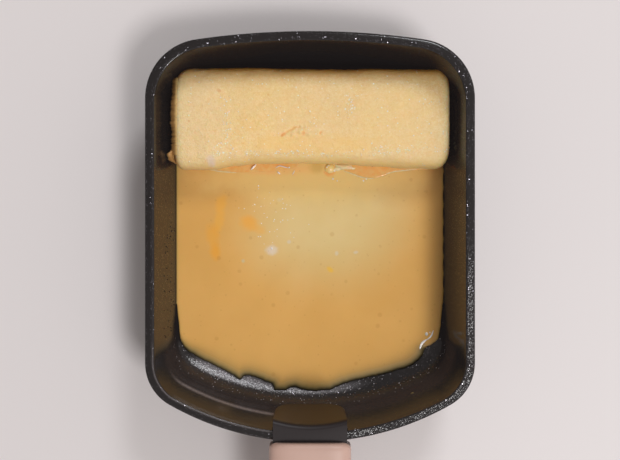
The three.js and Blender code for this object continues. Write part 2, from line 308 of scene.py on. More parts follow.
def outer(inset, steps):
    """The outside's plan shape, drawn in from the rim's outer edge."""
    corners = FAR_CORNER - inset / 2, HANDLE_CORNER - inset / 2
    reach = REACH - inset
    return outline(HALF_WIDTH - inset, (reach, reach), (FAR_RADIUS, HANDLE_RADIUS), corners, steps)


# ---- Materials ----


class Look:
    """A material or world in the making. Inputs are sockets or plain values."""

    def __init__(self, owner):
        owner.use_nodes = True
        self.owner = owner
        self.tree = owner.node_tree
        self.shader = next(n for n in self.tree.nodes if n.type in ("BSDF_PRINCIPLED", "BACKGROUND"))
        self.places = self.add("TexCoord").outputs
        self.place = self.places["Object"]

    def feed(self, socket, value):
        if isinstance(value, bpy.types.NodeSocket):
            self.tree.links.new(value, socket)
        else:
            socket.default_value = value

    def add(self, kind, inputs=None, **settings):
        made = self.tree.nodes.new("ShaderNode" + kind)
        for key, value in settings.items():
            setattr(made, key, value)
        for key, value in (inputs or {}).items():
            self.feed(made.inputs[key], value)
        return made

    def math(self, operation, a, b=0, c=0):
        return self.add("Math", {0: a, 1: b, 2: c}, operation=operation).outputs[0]

    def vector(self, operation, a, b=(0, 0, 0)):
        made = self.add("VectorMath", {0: a, 1: b}, operation=operation)
        return made.outputs["Value" if operation == "LENGTH" else "Vector"]

    def ease(self, value, low, high, start=0, end=1):
        """start where value is below low, end above high."""
        inputs = {"Value": value, "From Min": low, "From Max": high, "To Min": start, "To Max": end}
        made = self.add("MapRange", inputs, interpolation_type="SMOOTHSTEP", clamp=True)
        return made.outputs[0]

    def mix(self, share, a, b):
        return self.add("Mix", {0: share, 6: a, 7: b}, data_type="RGBA").outputs[2]

    def noise(self, size, detail=3, roughness=0.55):
        """Noise of about 0 to 1 with features of a size in mm."""
        inputs = {"Vector": self.place, "Scale": 1 / (size * MM), "Detail": detail}
        return self.add("TexNoise", {**inputs, "Roughness": roughness}).outputs["Fac"]

    def cells(self, size, seed=0):
        """Distance to the middle of cells of a size in mm, and each cell's own three numbers."""
        place = self.vector("ADD", self.place, (seed, seed * 0.7, seed * 1.3))
        made = self.add("TexVoronoi", {"Vector": place, "Scale": 1 / (size * MM)})
        return made.outputs["Distance"], made.outputs["Color"]

    def dots(self, spacing, radius, share, seed=0, near=None):
        """1 on small dots about spacing apart; a share of them is kept, where near is high."""
        distance, colour = self.cells(spacing, seed)
        split = self.add("SeparateColor", {0: colour})
        size = self.math("MULTIPLY_ADD", split.outputs[1], radius / spacing, 0.35 * radius / spacing)
        inside = self.ease(self.math("SUBTRACT", distance, size), -0.08, 0.04, 1, 0)
        limit = share if near is None else self.math("MULTIPLY", near, share)
        return self.math("MULTIPLY", inside, self.math("LESS_THAN", split.outputs[0], limit))

    def patch(self, middle, size, turn=0, ragged=0.35, grain=3, soft=(0.5, 1.1)):
        """1 inside a ragged ellipse on the XY plane, easing to 0 at its edge; sizes in mm."""
        offset = self.vector("SUBTRACT", self.place, Vector((*middle, 0)) * MM)
        spin = {"Vector": offset, "Angle": -radians(turn)}
        spun = self.add("VectorRotate", spin, rotation_type="Z_AXIS").outputs[0]
        scaled = self.vector("MULTIPLY", spun, (1 / size[0] / MM, 1 / size[1] / MM, 0))
        wobble = self.math("MULTIPLY_ADD", self.noise(grain), 2 * ragged, -ragged)
        return self.ease(self.math("ADD", self.vector("LENGTH", scaled), wobble), *soft, 1, 0)

    def attribute(self, name):
        return self.add("Attribute", attribute_name=name).outputs["Fac"]

    def relief(self, *layers):
        """The normal under bumps, each a height of 0 to 1 and its depth in mm."""
        under = {}
        for height, depth in layers:
            bump_node = self.add("Bump", {"Height": height, "Distance": depth * MM, **under})
            under = {"Normal": bump_node.outputs[0]}
        return under["Normal"]

    def leaning(self, own, amount):
        """The surface's normal, leaned by an amount to each cell's own side."""
        off = self.vector("SUBTRACT", own, (0.5, 0.5, 0.5))
        lean = self.add("VectorMath", {0: off, "Scale": amount}, operation="SCALE").outputs[0]
        facing = self.add("NewGeometry").outputs["Normal"]
        return self.vector("NORMALIZE", self.vector("ADD", facing, lean))

    def over(self, tone, *layers):
        """A tone under layers, each a mask, the colour it lays on and perhaps a strength."""
        for mask, colour, *strength in layers:
            if strength:
                mask = self.math("MULTIPLY", mask, *strength)
            tone = self.mix(mask, tone, shade(*colour))
        return tone

    def finish(self, **values):
        for key, value in values.items():
            self.feed(self.shader.inputs[key.replace("_", " ")], value)
        return self.owner


def new_look(name):
    return Look(bpy.data.materials.new(name))


def shade(red, green, blue):
    """A colour given as 0 to 255 display values."""
    def linear(value):
        value /= 255
        return value / 12.92 if value <= 0.04045 else ((value + 0.055) / 1.055) ** 2.4
    return (linear(red), linear(green), linear(blue), 1)


def coating_look():
    """Dark coating under a thin clear layer, with flecks that lean their own way and glint, and painted
    light laid on: sheen, a highlight band with glints, reflection streaks, a rim-edge highlight and a
    faint glow.
    """
    look = new_look("coating")
    grit = look.attribute("grit")
    glitter = look.attribute("glitter")
    grain = look.ease(look.noise(0.9), 0.48, 0.6, 0, 0.9)
    patchy = look.ease(look.noise(0.7), 0.35, 0.6, 0.6, 1)
    distance, own = look.cells(0.5)
    few = look.math("LESS_THAN", look.add("SeparateColor", {0: own}).outputs[2], 0.13)
    fleck = look.math("MULTIPLY", few, look.math("LESS_THAN", distance, 0.42))
    tone = look.over(
        look.mix(look.noise(9), shade(23, 21, 21), shade(28, 25, 25)),
        # lighter grain where the grit is high, mostly on the rim's key-lit corner: painted sheen
        (look.math("MULTIPLY", look.ease(grit, 0.2, 0.34), grain), (42, 40, 42)),
        # painted sheen low on the handle-side wall
        (look.attribute("haze"), (68, 57, 51)),
        # painted reflection streaks on the handle-side wall and a painted highlight along the rim's
        # inner edge
        (look.math("MULTIPLY", look.attribute("rubbed"), patchy), (150, 141, 141)),
        # painted highlight band on the handle-side fillet, and white dots there as painted glints
        (look.ease(glitter, 0.1, 0.8, 0, 0.6), (150, 146, 150)),
        (look.dots(0.62, 0.22, 1, seed=0.23, near=glitter), (206, 200, 204)),
        (fleck, (124, 120, 126)),
    )
    return look.finish(
        Base_Color=tone,
        Metallic=look.math("MULTIPLY", fleck, 0.9),
        Roughness=0.16,
        Specular_IOR_Level=0,
        Normal=look.leaning(own, 0.55),
        Coat_Weight=0.42,
        Coat_IOR=1.8,
        Coat_Roughness=0.12,
        Coat_Normal=look.leaning(look.cells(0.25)[1], grit),
        # Painted light: a faint glow that lifts the deepest shade on the coating.
        Emission_Color=shade(23, 20, 20),
        Emission_Strength=1,
    )


# Coloured marks on the roll: (middle, half sizes, turn), (colour, strength).
ROLL_PATCHES = [
    (((2, 46.5), (40, 6), 0), ((244, 200, 116), 0.5)),
    (((-58, 60), (18, 34), 0), ((244, 214, 164), 0.35)),
    (((-24, 62), (26, 24), 0), ((245, 205, 128), 0.3)),
    (((40, 58), (26, 22), 0), ((244, 208, 140), 0.4)),
    (((2, 62), (26, 18), 0), ((234, 200, 140), 0.35)),
    (((-49.8, 38), (2.6, 4), 20), ((236, 212, 196), 0.6)),
    (((-46.3, 73.7), (1, 1), 0), ((230, 172, 110), 0.4)),
    (((-60.9, 58.1), (0.7, 0.6), 0), ((230, 168, 96), 0.5)),
    (((-45.4, 73.3), (0.8, 0.8), 0), ((226, 160, 96), 0.4)),
    (((-21.1, 71.2), (0.8, 0.8), 0), ((232, 172, 100), 0.4)),
    (((-13.6, 51.2), (1.6, 0.8), 45), ((230, 154, 78), 0.7)),
    (((-3.3, 52), (0.9, 1), 0), ((226, 160, 100), 0.5)),
    (((5.4, 52.2), (0.9, 0.6), 50), ((232, 162, 86), 0.6)),
]


# Where moisture beads on the roll and painted glints cluster: middle and half sizes.
BEADED = [
    ((42, 43.6), (27, 3.4)),
    ((-8, 42), (34, 2.4)),
    ((-44, 42.5), (9, 5)),
    ((-42, 57), (3.6, 18)),
    ((20, 66), (4, 8)),
]


def roll_look():
    """Cooked egg: a porous skin beaded with moisture, browned on the ends, with painted shade down its
    back side, painted light down its front side and white dots of painted glints.
    """
    look = new_look("cooked_egg")
    broad = look.ease(look.noise(14, detail=4), 0.35, 0.65)
    grain = look.noise(1.1, detail=4, roughness=0.7)
    peel = look.ease(look.cells(1, 0.31)[0], 0.1, 0.55, 1, 0)
    pores = look.dots(0.85, 0.34, 0.4)
    beaded = look.ease(look.noise(9, detail=2), 0.4, 0.75, 0.04, 0.3)
    for middle, size in BEADED:
        cluster = look.patch(middle, size, ragged=1, grain=4, soft=(0.1, 1.2))
        beaded = look.math("MAXIMUM", beaded, cluster)
    small = look.dots(1, 0.34, 0.75, seed=0.17, near=beaded)
    large = look.dots(1.7, 0.5, 0.55, seed=0.61, near=look.ease(beaded, 0.3, 0.9))
    wet = look.math("MAXIMUM", small, large)
    skin = look.over(
        look.mix(broad, shade(242, 211, 154), shade(243, 208, 146)),
        (look.ease(grain, 0.5, 0.75), (250, 224, 170)),
        (look.ease(look.noise(2.4, detail=2), 0.45, 0.62), (253, 228, 182), 0.3),
        (peel, (254, 236, 196), 0.3),
        (look.ease(grain, 0.3, 0.5, 0.35, 0), (232, 186, 108)),
        (pores, (232, 184, 104), 0.2),
        # painted shade: a deeper, darker tone down the roll's back side
        (look.attribute("side"), (226, 164, 74)),
        # painted light: a lighter tone down the roll's front side, where the key light falls
        (look.attribute("front"), (255, 216, 146)),
        *[(look.patch(*place, grain=2), *tint) for place, tint in ROLL_PATCHES],
        # near-white dots as painted glints on the moist beads, which are also smoother and raised
        (wet, (255, 248, 234), 0.85),
        (look.attribute("torn"), (240, 182, 102)),
    )
    browned = look.over(
        look.mix(look.attribute("groove"), shade(208, 156, 84), shade(112, 72, 34)),
        (look.ease(look.noise(3), 0.45, 0.7), (150, 106, 58)),
    )
    bumps = look.math("ADD", grain, look.math("MULTIPLY", peel, 0.4))
    return look.finish(
        Base_Color=look.mix(look.attribute("end"), skin, browned),
        Roughness=look.math("MULTIPLY_ADD", wet, -0.38, 0.5),
        Subsurface_Weight=0.5,
        Subsurface_Radius=(1, 0.55, 0.25),
        Subsurface_Scale=0.006,
        Normal=look.relief((bumps, 0.17), (look.math("SUBTRACT", 1, pores), 0.05), (wet, 0.25)),
    )


# Streaks of yolk and bits of white in the layer, and a broad painted light along the roll's foot:
# (middle, half sizes, turn), (colour, strength).
SHEET_PATCHES = [
    (((-46.5, 17.5), (3.4, 6.6), -18), ((240, 176, 70), 0.6)),
    (((-47.5, 8), (3.2, 9), -12), ((240, 178, 76), 0.6)),
    (((-50.8, 0.5), (4.4, 7.4), 8), ((238, 170, 66), 0.6)),
    (((-49.5, -8), (3.4, 5.6), 8), ((240, 168, 58), 0.7)),
    (((-31.8, 6.8), (5.8, 5), -30), ((242, 174, 74), 0.75)),
    (((-26.5, 3.4), (4.6, 3), -20), ((240, 182, 90), 0.5)),
    (((-20, -7.3), (3.8, 3.2), 0), ((228, 210, 188), 0.9)),
    (((-35, -13), (1.2, 1.2), 0), ((214, 194, 150), 0.8)),
    (((10.5, -17.5), (2.6, 1.6), -40), ((240, 190, 60), 0.7)),
    (((-11, -3), (1.4, 1.2), 0), ((220, 208, 188), 0.6)),
    (((14, -9), (1.2, 1.5), 0), ((220, 210, 190), 0.6)),
    (((24, -8.5), (1.6, 1), 10), ((220, 210, 190), 0.6)),
    (((-16, 19), (1.6, 1.4), 0), ((215, 200, 168), 0.5)),
    # painted light: lightens the layer along the roll's foot, against the shade the roll casts there
    (((0, 31), (76, 15), 0), ((250, 215, 138), 0.75)),
    (((-19, 35), (26, 4), 0), ((250, 196, 124), 0.7)),
    (((-20.5, 36.5), (3.6, 3.4), 0), ((252, 166, 84), 0.7)),
    (((3.5, 36), (5, 4), 0), ((214, 180, 96), 0.6)),
    (((10.2, 33.2), (3.4, 2.4), 0), ((250, 168, 84), 0.7)),
]


def sheet_look():
    """Liquid egg: paler where it is setting, orange further out, darker where it runs thin."""
    look = new_look("liquid_egg")
    pale = look.patch((10, 12), (60, 52), ragged=0.16, grain=38, soft=(0.25, 1.05))
    clouds = look.ease(look.noise(24, detail=2), 0.3, 0.7)
    orange = look.mix(clouds, shade(229, 177, 100), shade(224, 172, 95))
    cream = look.mix(clouds, shade(228, 201, 142), shade(225, 197, 135))
    colour = look.mix(pale, orange, cream)
    for place, tint in SHEET_PATCHES:
        mask = look.patch(*place, 0.3, grain=0.7 * min(place[1]), soft=(0.3, 1.15))
        colour = look.over(colour, (mask, *tint))
    colour = look.over(
        colour,
        (look.dots(6, 1, 0.5, seed=0.05), (180, 116, 44), 0.2),
        (look.dots(2.6, 0.42, 0.5, seed=0.43), (180, 122, 54), 0.2),
    )
    cover = look.attribute("cover")
    edge = look.mix(look.ease(cover, 0, 0.55), shade(44, 43, 36), shade(140, 120, 70))
    colour = look.mix(look.ease(cover, 0.25, 1), edge, colour)
    return look.finish(
        Base_Color=colour,
        Roughness=look.ease(cover, 0.3, 0.85, 0.5, 0.16),
        Specular_IOR_Level=0.3,
        Subsurface_Weight=0.2,
        Subsurface_Radius=(1, 0.5, 0.2),
        Subsurface_Scale=0.002,
        Normal=look.relief((look.noise(9, detail=1), 0.1)),
    )


def wet_look(name, colour, other, roughness=0.12):
    """Raw or barely set egg: one colour clouded with another."""
    look = new_look(name)
    return look.finish(
        Base_Color=look.mix(look.ease(look.noise(2.5), 0.35, 0.65), shade(*colour), shade(*other)),
        Roughness=roughness,
        Subsurface_Weight=0.3,
        Subsurface_Radius=(1, 0.5, 0.2),
        Subsurface_Scale=0.0015,
        Normal=look.relief((look.noise(1.6), 0.1)),
    )


def fringe_look():
    """Browned egg, light where it leaves the roll, darker mid-way with painted shade for the shaded
    hollow under the layer, and pale at its ragged tip, partly painted highlight where the tip catches
    the light.
    """
    look = new_look("browned_egg")
    tip = look.attribute("tip")
    # painted shade mid-way along the fringe, painted highlight at its tip
    tone = look.over(
        look.mix(look.ease(tip, 0.1, 0.6), shade(246, 206, 134), shade(180, 134, 78)),
        (look.ease(tip, 0.8, 1, 0, 0.7), (188, 162, 122)),
        (look.ease(look.noise(1.6), 0.5, 0.75, 0, 0.4), (104, 70, 38)),
    )
    return look.finish(Base_Color=tone, Roughness=0.5, Normal=look.relief((look.noise(0.9), 0.15)))


def glint_look():
    """Painted highlights: a near-white that stands in for the glints of light on liquid egg."""
    look = new_look("wet_glint")
    tone = look.mix(look.noise(1), shade(255, 252, 247), shade(250, 244, 236))
    return look.finish(Base_Color=tone, Metallic=0.15, Roughness=0.2)


def plastic_look(name, colour, roughness, speckle, specular):
    """Moulded plastic with a faint grain and slightly uneven colour."""
    look = new_look(name)
    darker = [v * 0.93 for v in colour]
    tone = look.mix(look.noise(18), shade(*colour), shade(*darker))
    tone = look.over(tone, (look.dots(0.7, 0.2, 0.4), darker, speckle))
    grain = look.relief((look.noise(0.3, detail=2), 0.012))
    return look.finish(Base_Color=tone, Roughness=roughness, Specular_IOR_Level=specular, Normal=grain)


# ---- Pan ----

PAN_STEPS = (20, 72, 12)
RUBBED_HEIGHT = 28  # height of a painted reflection streak on the handle's side wall


def make_pan(material):
    rings = []

    def add(inset, z):
        rings.append(at_height(outer(inset, PAN_STEPS), z))

    slope = (RIM - OUTER_FILLET) * tan(OUTER_DRAFT)
    for turn in np.linspace(0, pi / 2 - OUTER_DRAFT, 12):
        add(slope + OUTER_FILLET * (1 - sin(turn)), OUTER_FILLET * (1 - cos(turn)))
    quarter = np.linspace(0, pi / 2, 9)
    slope_width = RIM_WIDTH - RIM_FLAT - RIM_ROUND
    drop = slope_width * tan(RIM_SLOPE)
    for turn in quarter[:-1]:
        add(RIM_ROUND * (1 - cos(turn)), RIM - drop - RIM_ROUND * (1 - sin(turn)))
    for share in np.linspace(0, 1, 5):
        add(RIM_ROUND + slope_width * share, RIM - drop * (1 - smooth(share, -0.5, 1.2)))
    fold = len(rings) - 1
    for turn in quarter[-2::-1]:
        add(RIM_WIDTH - RIM_INSIDE[0] * (1 - cos(turn)), RIM - RIM_INSIDE[1] * (1 - sin(turn)))
    wide = np.linspace(0, 1, 30) ** 1.7 * HANDLE_FILLET * (1 - sin(HANDLE_DRAFT))
    tight = np.linspace(0, 1, 7)[1:] ** 1.7 * PLAIN_FILLET * (1 - sin(DRAFT))
    high = np.linspace(DEPTH - RIM_INSIDE[1] - 1.5, wide[-1] + 1, 24)
    for height in [*high, *sorted([*wide, *tight], reverse=True)]:
        rings.append(at_height(lining(height, PAN_STEPS), FLOOR + height))
    body = loft(rings)
    piece = make_piece("coated_pan", body, material, "pan_coating", "pan")
    x, y, z = body[0].T
    ring = np.arange(len(z)) // len(rings[0])
    inner = ring > fold
    front = smooth(-y, 50, 60) * inner
    low = (1 - smooth(z, FLOOR + 5, FLOOR + 12)) * inner
    on_rim = smooth(z, RIM - 2.5, RIM - 1)
    # The rim's grit grows towards the front-right corner, where the key light falls. It roughens the
    # clear layer, and it lays a lighter grain there as painted sheen.
    to_corner = smooth((x - y) / sqrt(2), 30, 100) * (1 - inner)
    rim_grit = (0.05 + 0.42 * to_corner) * on_rim
    grit = 0.02 + rim_grit + 0.14 * low + 0.06 * front * (1 - on_rim)
    right = smooth(x, -20, 60)
    # Painted sheen: a lighter tone low on the handle-side wall, stronger towards the right, where the
    # wall faces the back light.
    haze = smooth(z, FLOOR + 0.5 + 3 * right, FLOOR + 5 + 4 * right) * (1 - smooth(z, 24, 36))
    haze = haze * (0.5 + 0.4 * right) * front
    # Painted highlight: a bright band with glints along the handle-side fillet, where the back light is
    # mirrored, and sparser glints over the rest of its floor edge.
    band = bump(z, FLOOR + 0.8, 2) * smooth(x, -66, -52) * (1 - smooth(x, 0, 40))
    glitter = (0.07 + 0.85 * band) * low * front
    # Painted reflections: a streak along the handle-side wall and a smear below the rim. Also a painted
    # highlight along the rim's inner edge, left and towards the handle.
    line = bump(z, RUBBED_HEIGHT, 3) * smooth(x, -72, -62) * (1 - smooth(x, -22, -14))
    smear = 0.12 * bump(x, -44, 4) * bump(z, 37, 7)
    worn = (0.06 + 0.4 * front) * (1 - smooth(x, -20, -8)) * (1 - smooth(y, 20, 60)) * (ring == fold + 1)
    rubbed = np.maximum((line + smear) * front, worn)
    store(piece, grit=grit, haze=haze, glitter=glitter, rubbed=rubbed)
    return piece


def surface_under(piece):
    """A function that gives the height of a piece's surface under a point."""
    mesh = piece.data
    tree = BVHTree.FromPolygons([v.co for v in mesh.vertices], [p.vertices for p in mesh.polygons])

    def height(x, y, start=RIM + 5):
        hit = tree.ray_cast(Vector((x, y, start)) * MM, Vector((0, 0, -1)))[0]
        return hit.z / MM if hit else FLOOR

    return height


# ---- Layer of liquid egg ----

# The layer's free edge from the left wall to the right one, with a torn notch left of the middle
# and a thick lip in the right corner.
FREE_EDGE = [
    (-69.6, -36), (-69.2, -41), (-68.6, -45.5), (-68.3, -50), (-67.8, -54.5), (-66, -58.6),
    (-63, -61.2), (-55, -65.6), (-47.2, -69.4), (-41, -72.6), (-36.4, -75.4), (-35.3, -74.4),
    (-34.6, -73.3), (-32, -73.2), (-26.9, -74.6), (-22.5, -76.6), (-19.9, -77.8), (-19.2, -79.2),
    (-18.7, -80.6), (-16, -80.9), (-12.8, -80.8), (-10.4, -79.4), (-7.9, -79), (-4.6, -80.2),
    (-1.2, -80.9), (4, -81.1), (10.2, -80.6), (14, -79), (17.6, -77.4), (24, -75.8),
    (30.4, -74.2), (40, -72), (48.8, -69.6), (53.5, -67.6), (57, -65.1), (59, -62.8),
    (59.5, -60.8), (59.9, -58.9), (61.3, -57.7), (63.5, -56.7), (65.8, -55.5), (67.2, -53.4),
    (68, -50.2), (68.5, -46.6), (69.1, -41), (69.4, -36),
]
FREE_FROM = FREE_EDGE[0][1]
SHEET_MIDDLE = np.array([0, 8])
THINNING = 4.2  # mm from the free edge over which the layer covers the dark floor


def sheet_plan():
    """The layer's outline, held by the walls and ragged towards the handle."""
    held = lining(LEVEL - FLOOR, (24, 90, 90))
    start = np.argmax((held[:, 1] > FREE_FROM) & (np.roll(held[:, 1], 1) <= FREE_FROM))
    held = np.roll(held, -start, axis=0)
    held = held[held[:, 1] > FREE_FROM]
    plan = resample(np.concatenate([held, FREE_EDGE]), 0.8)
    flat = at_height(plan, 0)
    free = smooth(-plan[:, 1], 48, 56)
    wobble = free * (0.22 * rough(flat, 4, 2, 1) + 0.22 * rough(flat, 1.5, 2, 2))
    scallops = 0.3 * np.abs(np.sin(plan[:, 1] * pi / 9 + 0.6)) * (plan[:, 0] > 60) * (1 - free)
    plan += unit(plan - SHEET_MIDDLE) * (wobble - scallops)[:, None]
    plan[:, 1] = np.minimum(plan[:, 1], ROLL_HIGH[1] - 8)  # the roll stands on its end
    return plan


def make_sheet(material, ground):
    plan = sheet_plan()
    edge_points = resample(plan, 0.2)
    edge = KDTree(len(edge_points))
    for i, p in enumerate(edge_points):
        edge.insert((*p, 0), i)
    edge.balance()
    inward = np.concatenate([np.linspace(0, 3, 13), np.linspace(3.4, 9, 12), np.linspace(10, 72, 26)])
    rings, cover = [], [0] * (2 * len(plan))
    for share in 1 - inward / 74:
        ring = []
        for x, y in SHEET_MIDDLE + (plan - SHEET_MIDDLE) * share:
            away = edge.find((x, y, 0))[2]
            bottom = ground(x, y)
            thin = float(smooth(-y, 50, 60) * (1 - smooth(x, 58, 62)))
            lip = LEVEL + 0.1 * exp(-away / 0.8) - 0.3 * exp(-away / 0.25)
            film = bottom + (LEVEL - bottom) * (1 - exp(-(away + 0.1) / 0.5))
            ring.append((x, y, lip + (film - lip) * thin))
            side = 1 - 0.5 * exp(-away / 0.9)
            front = 1 - exp(-(away + 0.15) / THINNING)
            cover.append(side + (front - side) * thin)
        rings.append(np.array(ring))
    skirt = rings[0].copy()
    skirt[:, 2] = [ground(x, y) - 0.05 for x, y in skirt[:, :2]]
    base = at_height(SHEET_MIDDLE + (plan - SHEET_MIDDLE) * 0.9, FLOOR - 0.05)
    body = loft([base, skirt, *rings])
    piece = make_piece("liquid_egg_layer", body, material, "liquid_egg", "egg_sheet")
    store(piece, cover=[*cover, 0, 1])


# ---- Roll ----

ROLL_BOTTOM = LEVEL - 0.1
ROLL_TALL = 25
ROLL_MIDDLE = (ROLL_LOW[1] + ROLL_HIGH[1]) / 2
ROLL_ENDS = (-68.4, 70.4)  # where the skin ends along X, before the ends' own bulge
# How far the roll's sides stand from its middle line, and how tall it is, along X.
ROLL_LINES = {
    "back": [(-70, 25), (-58, 25.4), (-45, 25.9), (-30, 26), (-14, 25.2), (30, 25.2), (48, 25.2),
             (60, 25.3), (70, 25.2)],
    "front": [(-70, 25.9), (-50, 25.8), (-38, 24), (-28, 22.8), (10, 22.7), (34, 23.9), (50, 25.2),
              (70, 25.3)],
    "top": [(-70, 24.6), (-50, 25), (-20, 25.2), (15, 24.8), (45, 25.2), (70, 24.4)],
}
ROLL_SQUARE = {"back": 3.4, "front": 3.9, "under": 5}
# Radii at the left and right end.
ROLL_CORNERS = {"back": (7.5, 6.4), "front": (4.6, 6.8)}
ROLL_EDGE = (2.8, 1.8)


def end_inset(x, radii):
    """How far the roll draws in at x, where its ends are rounded."""
    radii = np.array(radii)
    left = np.clip(radii - (x - ROLL_ENDS[0], ROLL_ENDS[1] - x), 0, radii)
    return (radii - np.sqrt(radii**2 - left**2)).sum()


def roll_section(x, count):
    """The roll's cross-section (y, z) at even steps, from +Y by way of the top."""
    c, s = circle(1600)
    top = along(x, ROLL_LINES["top"])
    half_height = top / 2 - 0.8 * end_inset(x, ROLL_EDGE)
    back, front = (along(x, ROLL_LINES[k]) - end_inset(x, ROLL_CORNERS[k]) for k in ROLL_CORNERS)
    square = np.where(c > 0, ROLL_SQUARE["back"], ROLL_SQUARE["front"])
    square = np.where(s < 0, ROLL_SQUARE["under"], square)
    y = power(c, square) * np.where(c > 0, back, front)
    z = ROLL_BOTTOM + top / 2 + power(s, square) * half_height
    return resample(np.column_stack([ROLL_MIDDLE + y, z]), count=count)


# The torn crease on top of the roll, and smaller nicks beside it: their points and half width.
TEARS = [
    ([(-14.4, 50.5), (-12.6, 51.9), (-9.1, 54.1), (-5.6, 55.1)], 0.55),
    ([(-3.6, 51.4), (-2.9, 52.9)], 0.4),
    ([(4.9, 51.6), (6, 53)], 0.35),
]


def tear_marks(points):
    """How deep the tears cut at points, and how much yolk shows in them."""
    cut = np.zeros(len(points))
    shake = [rough(points, 1.7, 2, seed) for seed in (14, 15)]
    shaken = points[:, :2] + 0.8 * np.column_stack(shake)
    upper = points[:, 2] > ROLL_BOTTOM + 15
    for line, half in TEARS:
        away = np.full(len(points), 99)
        for start, end in zip(np.array(line[:-1]), np.array(line[1:])):
            run = end - start
            share = np.clip(((shaken - start) @ run) / (run @ run), 0, 1)
            to_line = shaken - start - share[:, None] * run
            away = np.minimum(away, np.linalg.norm(to_line, axis=1))
        cut = np.maximum(cut, (1 - smooth(away, half * 0.3, half * 2)) * upper)
    rumpled = bump(points[:, 0], -3, 13) * bump(points[:, 1], 52, 6) * upper
    lumps = rumpled * np.clip(rough(points, 1.6, 2, 6) + 0.15, 0, 1)
    return 0.5 * cut - 0.9 * lumps, 0.6 * cut


def make_roll(material):
    count = 340  # points around the skin
    near = 0.02 + 8 * (1 - np.cos(np.linspace(0, pi / 2, 17)))
    body = np.linspace(ROLL_ENDS[0] + 8, ROLL_ENDS[1] - 8, 206)[1:-1]
    stations = [*(ROLL_ENDS[0] + near), *body, *(ROLL_ENDS[1] - near)[::-1]]
    skin = np.concatenate([np.insert(roll_section(x, count), 0, x, axis=1) for x in stations])
    outward = skin - (0, ROLL_MIDDLE, ROLL_BOTTOM + ROLL_TALL / 2)
    outward[:, 0] = 0
    swell = 0.4 * rough(skin, 22, 2, 3) + 0.16 * rough(skin, 6, 3, 4) + 0.09 * rough(skin, 1.6, 2, 5)
    skin += unit(outward) * swell[:, None]
    dent, torn = tear_marks(skin)
    skin[:, 2] = np.maximum(skin[:, 2] - dent, ROLL_BOTTOM)
    rings = list(skin.reshape(-1, count, 3))
    left, left_groove = end_face(rings[0], -1, bulge=2.4, groove=1.6, turns=3.6)
    right, right_groove = end_face(rings[-1], 1, bulge=0.9, groove=1.2, turns=3.3)
    points, faces = loft(left[::-1] + rings + right)
    piece = make_piece("omelette_roll", (points, faces), material, "cooked_egg", "egg_roll")
    x, y, z = points.T
    down = ROLL_BOTTOM + ROLL_TALL - z
    # side carries painted shade on the back; front carries painted light on the front.
    behind = smooth(y, 45, 72)
    store(piece, side=smooth(down, 0.4, 6) * behind, front=smooth(down, 1, 5) * (1 - behind))
    near_left = smooth(ROLL_ENDS[0] + 2.4 - x, 0, 2.4) * 0.35
    near_right = smooth(x - ROLL_ENDS[1] + 1.2, 0, 1.6) * (0.3 + 0.6 * smooth(down, 12, 20))
    start = left_groove.size
    stop = start + len(skin)
    end = np.maximum(near_left, near_right)
    end[:start] = 1
    end[stop:] = 1
    groove, tears = np.zeros((2, len(points)))
    groove[:start] = left_groove[::-1].ravel()
    groove[stop:-2] = right_groove.ravel()
    tears[start:stop] = torn
    store(piece, end=end, groove=groove, torn=tears)
    return piece


def end_face(rim, sign, bulge, groove, turns):
    """Rings from an end's edge to its middle: wound layers with ragged lips."""
    middle = rim.mean(0)
    around = np.arange(len(rim)) / len(rim)
    rings, grooves = [], []
    for share in np.linspace(0.985, 0.03, 46):
        ring = middle + (rim - middle) * share
        phase = share * turns - sign * around
        from_edge = min(1, (1 - share) / 0.1)
        cut = np.abs(np.cos(pi * phase)) ** 3 * from_edge
        ragged = rough(ring, 2.4, 3, 7 + sign)
        out = bulge * (1 - share**2.2) - groove * cut + 0.7 * ragged * from_edge
        below_top = smooth(middle[2] + 4 - ring[:, 2], -8, 10)
        ring[:, 0] += sign * out * (0.35 + 0.65 * below_top)
        rings.append(ring)
        grooves.append(np.clip(cut + 0.35 * ragged, 0, 1))
    return rings, np.array(grooves)


def make_left_fringe(material, top_at):
    """The ragged, browned edge of an inner layer, and the flap at its front."""
    y = np.linspace(80.5, 41, 150)
    top = np.array([top_at(ROLL_ENDS[0] + 1.6, v) for v in y])
    line = np.column_stack([0 * y, y, 0 * y])
    jag = 0.5 * rough(line, 3, 3, 12) + 0.35 * rough(line, 1, 2, 13)
    grid, flap = [], []
    for v in np.linspace(0, 1, 9):
        x = -66.4 - (3.9 + jag * v) * v - 0.4 * bump(y, 62, 14) * v
        z = top - 3.6 * v**2 + 0.6 * jag * v
        grid.append(np.column_stack([x, y, z]))
    u = np.linspace(0, 1, 26)
    fray = rough(np.column_stack([9 * u, 0 * u, 0 * u]), 1.5, 2, 16)
    for v in np.linspace(0, 1, 12):
        curl = 1 - (2 * u - 1) ** 2
        wave = 0.35 * np.sin(7 * u + 3 * v)
        x = -67.8 - 4.2 * v**0.7 * (1 + 0.35 * fray * v) * curl - 0.2 * wave
        side = 38 + 8 * u - 1.2 * v
        z = 19 + 7.5 * np.sin(2.2 * v) * curl + 3 * u + wave * v
        flap.append(np.column_stack([x, side, z]))
    piece = joined("left_fringe", material, "cooked_egg", plate(grid, 0.6), plate(flap, 0.5))
    tips = [np.repeat(np.linspace(0, 1, len(rows)), len(rows[0])) for rows in (grid, grid, flap, flap)]
    store(piece, tip=np.concatenate(tips))


def make_right_crumbs(material):
    """Small torn bits on the right end."""
    parts = []
    for y in (53.5, 50.6, 47.5, 45.2):
        size = rng.uniform(0.5, 0.9)
        z = rng.uniform(23, 25)
        x = 70.4 + rng.uniform(-0.3, 0.3)
        parts.append(blob((x, y), (size, size * 1.6), size, z, wobble=0.5, seed=y))
    joined("right_crumbs", material, "cooked_egg", *parts)


